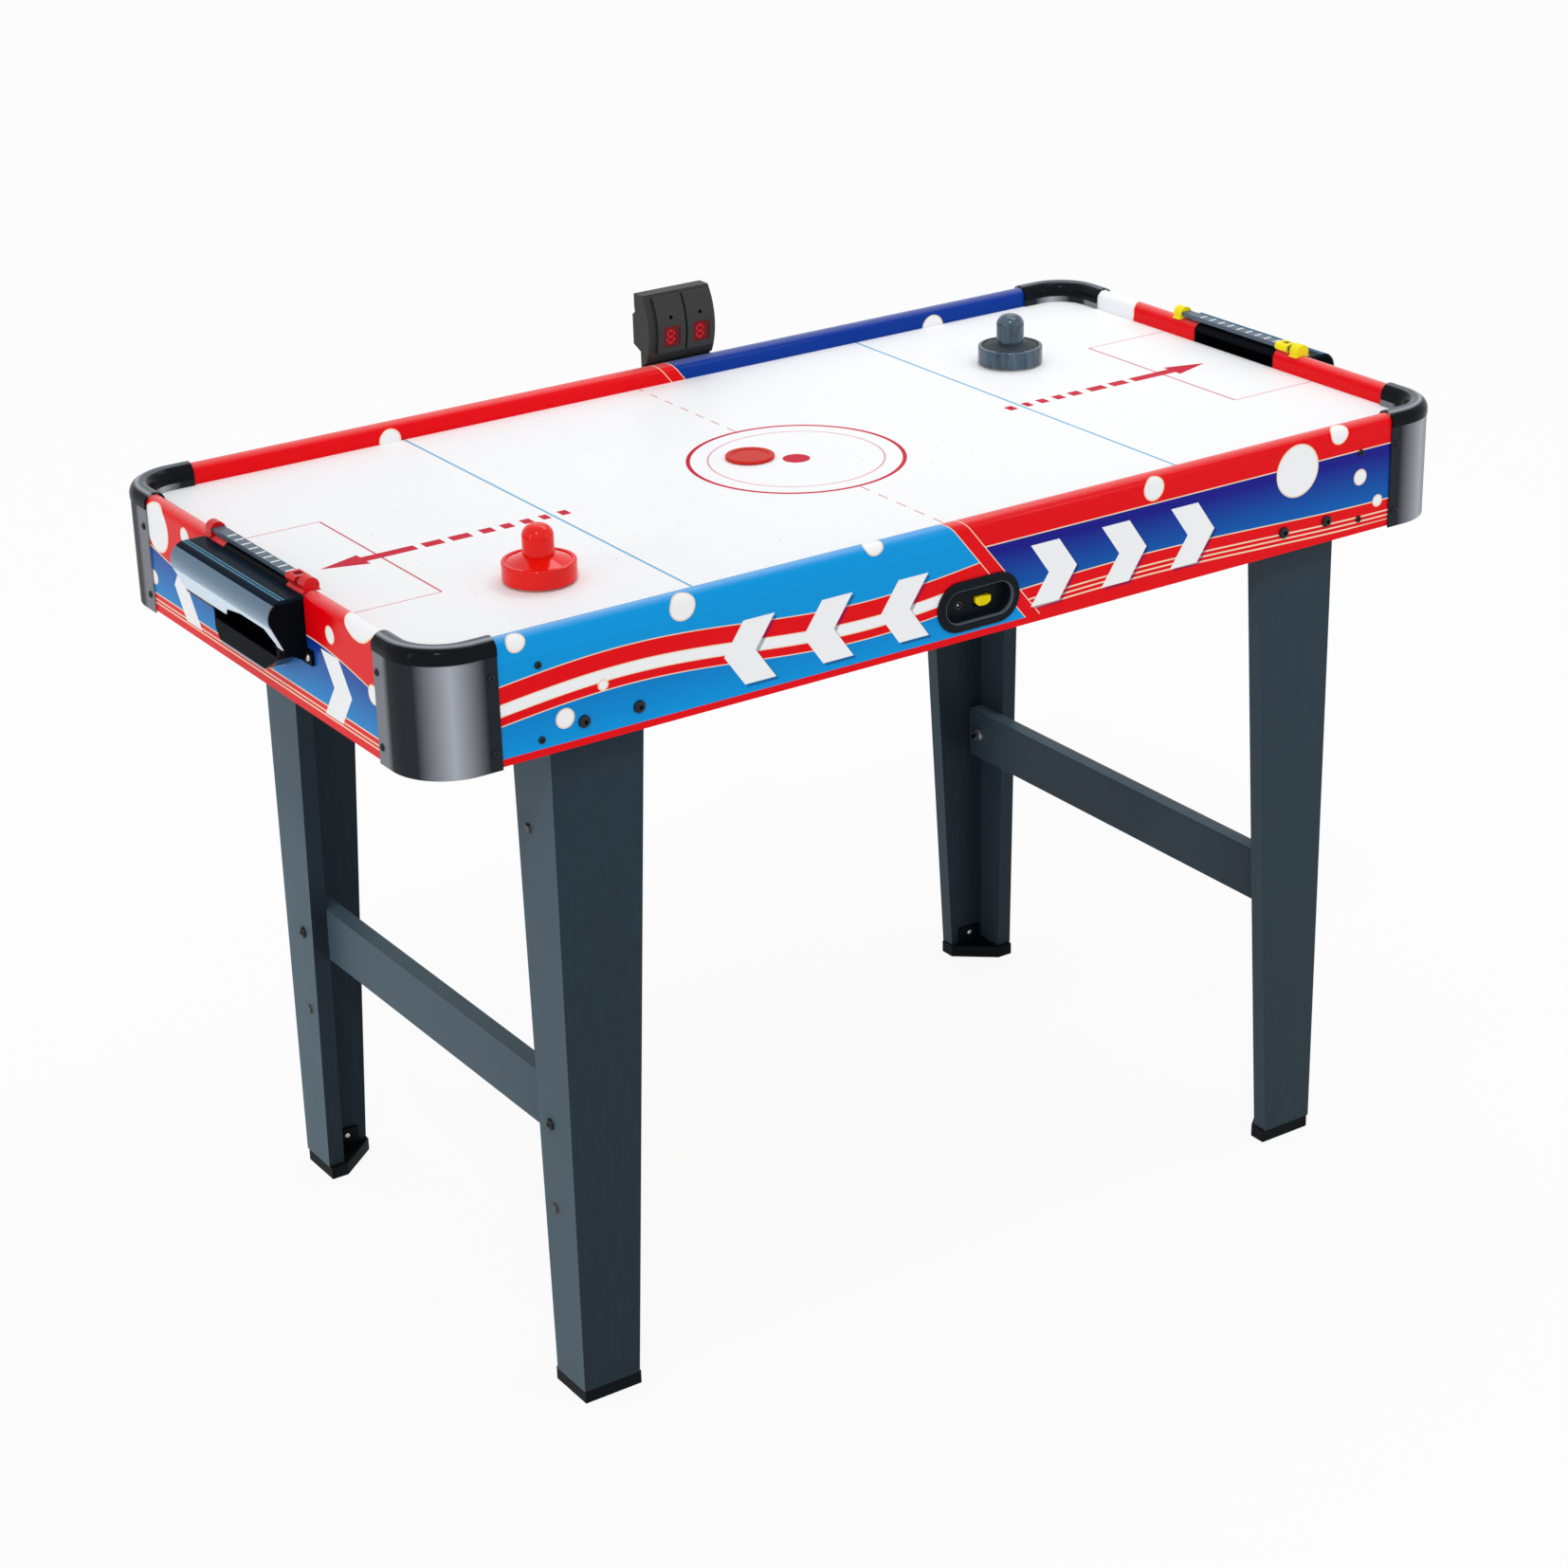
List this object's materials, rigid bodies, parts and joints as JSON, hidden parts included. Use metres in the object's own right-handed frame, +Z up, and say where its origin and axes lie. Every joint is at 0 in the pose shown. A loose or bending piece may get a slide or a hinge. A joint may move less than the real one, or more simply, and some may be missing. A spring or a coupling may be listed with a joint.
{
  "type": "air hockey table",
  "caption": "Air hockey table on L-section legs with rounded corner caps, blower-fed play board, goals with puck return hoods, slide scorers and an electronic score unit.",
  "frame": {"origin": "on the floor under the middle of the table", "axes": "+X along the table's length towards the right end, -Y towards the side with the power switch, +Z up"},
  "size_m": [1.269, 0.6487, 0.8825],
  "materials": {
    "long_board_print": "glossy printed wrap over fibreboard, blue with red",
    "end_board_print": "glossy printed wrap over fibreboard, red with blue",
    "rink_board": "white lacquered hardboard with printed rink lines",
    "hardboard": "raw brown hardboard",
    "raw_timber": "sawn timber and particle board",
    "cap_plastic": "satin charcoal moulding with a glossy top bead",
    "leg_laminate": "satin charcoal laminate",
    "foot_plastic": "fine matt moulding",
    "black_screw": "black oxide",
    "steel": "zinc plated",
    "plug_plastic": "smooth moulded",
    "goal_plastic": "smooth moulded",
    "hood_plastic": "glossy moulded",
    "silver_plastic": "satin silver paint",
    "bar_plastic": "satin with white score marks",
    "red_bead": "smooth moulded",
    "yellow_bead": "smooth moulded",
    "unit_plastic": "fine texture moulded",
    "unit_window": "dark red window",
    "unit_digit": "lit red bars",
    "switch_plastic": "smooth moulded",
    "blower_plastic": "moulded",
    "motor_can": "drawn steel can",
    "puck_plastic": "smooth moulded",
    "red_striker": "glossy moulded",
    "dark_striker": "glossy moulded",
    "felt": "pressed felt"
  },
  "bodies": {
    "table": {"front_apron": "long_board_print", "back_apron": "long_board_print", "left_apron": "end_board_print", "right_apron": "end_board_print", "play_board": "rink_board", "chamber_floor": "hardboard", "battens": "raw_timber", "cross_ribs": "raw_timber", "corner_cap_front_left": "cap_plastic", "corner_cap_front_right": "cap_plastic", "corner_cap_back_left": "cap_plastic", "corner_cap_back_right": "cap_plastic", "corner_blocks": "raw_timber", "corner_screws": "black_screw", "panel_screws": "steel", "leg_front_left": "leg_laminate", "leg_front_right": "leg_laminate", "leg_back_left": "leg_laminate", "leg_back_right": "leg_laminate", "foot_front_left": "foot_plastic", "foot_front_right": "foot_plastic", "foot_back_left": "foot_plastic", "foot_back_right": "foot_plastic", "stretcher_left": "leg_laminate", "stretcher_right": "leg_laminate", "frame_bolts": "black_screw", "frame_nuts": "steel", "hole_plugs": "plug_plastic", "goal_frame_left": "goal_plastic", "goal_frame_right": "goal_plastic", "hood_body_left": "hood_plastic", "hood_body_right": "hood_plastic", "hood_cover_left": "silver_plastic", "hood_cover_right": "silver_plastic", "score_bar_left": "bar_plastic", "score_bar_right": "bar_plastic", "score_brackets_left": "red_bead", "score_brackets_right": "yellow_bead", "score_unit_case": "unit_plastic", "score_unit_panels": "unit_plastic", "score_unit_windows": "unit_window", "score_unit_digits": "unit_digit", "switch_cup": "switch_plastic", "cup_plate": "switch_plastic", "switch_body": "switch_plastic", "power_jack": "switch_plastic", "blower_housing": "blower_plastic", "intake_grille": "blower_plastic", "motor_bridge": "steel", "blower_motor": "motor_can"},
    "puck": {"puck": "puck_plastic"},
    "striker_left": {"striker_left": "red_striker", "striker_left_felt": "felt"},
    "striker_right": {"striker_right": "dark_striker", "striker_right_felt": "felt"},
    "score_slider_left": {"score_slider_left": "red_bead"},
    "score_slider_right": {"score_slider_right": "yellow_bead"},
    "power_rocker": {"power_rocker": "yellow_bead"},
    "blower_rotor": {"motor_shaft": "steel", "blower_wheel": "blower_plastic"}
  },
  "joints": [
    {"name": "puck_glide", "type": "slide", "parent": "table", "child": "puck", "axis": [1, 0, 0], "range_m": [-0.514, 0.586]},
    {"name": "striker_left_glide", "type": "slide", "parent": "table", "child": "striker_left", "axis": [1, 0, 0], "range_m": [-0.15, 0.345]},
    {"name": "striker_right_glide", "type": "slide", "parent": "table", "child": "striker_right", "axis": [1, 0, 0], "range_m": [-0.33, 0.165]},
    {"name": "score_left_slide", "type": "slide", "parent": "table", "child": "score_slider_left", "axis": [0, 1, 0], "range_m": [0, 0.15]},
    {"name": "score_right_slide", "type": "slide", "parent": "table", "child": "score_slider_right", "axis": [0, 1, 0], "range_m": [0, 0.15]},
    {"name": "power_switch", "type": "hinge", "parent": "table", "child": "power_rocker", "pos_m": [0.009, -0.2981, 0.722], "axis": [0, 0, 1], "range_deg": [0, 20]},
    {"name": "blower_spin", "type": "hinge", "parent": "table", "child": "blower_rotor", "pos_m": [0, 0, 0.73], "axis": [0, 0, 1], "continuous": true}
  ]
}
